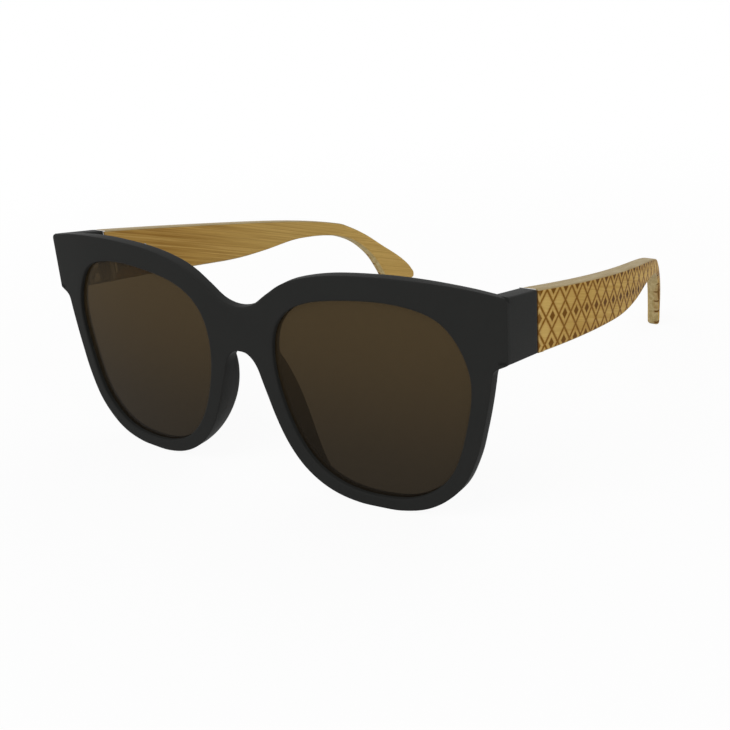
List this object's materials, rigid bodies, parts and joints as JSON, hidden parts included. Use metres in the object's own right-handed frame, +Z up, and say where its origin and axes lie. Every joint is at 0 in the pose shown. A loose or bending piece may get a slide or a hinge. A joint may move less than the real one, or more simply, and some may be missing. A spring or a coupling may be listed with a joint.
{
  "type": "sunglasses",
  "caption": "Sunglasses with a matte black moulded front, brown tinted lenses and bowed bamboo temples with a lattice pattern, which fold on sprung metal hinges",
  "frame": {"origin": "middle of the footprint, on the table that the open sunglasses stand on", "axes": "+X to the right of a person who faces the lenses, +Y back along the temples, +Z up"},
  "size_m": [0.1472, 0.1604, 0.0606],
  "materials": {
    "front_plastic": "moulded, matte, soft edges",
    "lens_tint": "polished, see-through brown tint",
    "bamboo": "bamboo strips with a satin lacquer, burnt lattice on the outer face",
    "hinge_steel": "satin nickel",
    "screw_steel": "bright",
    "spring_steel": "drawn wire"
  },
  "bodies": {
    "front": {"front_frame": "front_plastic", "lens_left": "lens_tint", "lens_right": "lens_tint", "hinge_leaf_left": "hinge_steel", "leaf_screws_left": "screw_steel", "hinge_screw_left": "screw_steel", "hinge_leaf_right": "hinge_steel", "leaf_screws_right": "screw_steel", "hinge_screw_right": "screw_steel"},
    "slider_left": {"slider_left": "hinge_steel", "spring_stop_left": "hinge_steel"},
    "arm_left": {"temple_left": "bamboo", "end_plate_left": "hinge_steel", "spring_case_left": "hinge_steel", "case_screws_left": "screw_steel", "spring_left": "spring_steel"},
    "slider_right": {"slider_right": "hinge_steel", "spring_stop_right": "hinge_steel"},
    "arm_right": {"temple_right": "bamboo", "end_plate_right": "hinge_steel", "spring_case_right": "hinge_steel", "case_screws_right": "screw_steel", "spring_right": "spring_steel"}
  },
  "joints": [
    {"name": "fold_left", "type": "hinge", "parent": "front", "child": "slider_left", "pos_m": [-0.0658, -0.0601, 0.04519], "axis": [0, 0, -1], "range_deg": [0, 88]},
    {"name": "slide_left", "type": "slide", "parent": "slider_left", "child": "arm_left", "axis": [0, 1, 0], "range_m": [0, 0.00107], "stiffness_N_per_m": 4000, "springref_m": -0.0008, "deforming": ["spring_left"]},
    {"name": "fold_right", "type": "hinge", "parent": "front", "child": "slider_right", "pos_m": [0.0658, -0.0601, 0.04519], "axis": [0, 0, 1], "range_deg": [0, 74]},
    {"name": "slide_right", "type": "slide", "parent": "slider_right", "child": "arm_right", "axis": [0, 1, 0], "range_m": [0, 0.00107], "stiffness_N_per_m": 4000, "springref_m": -0.0008, "deforming": ["spring_right"]}
  ]
}
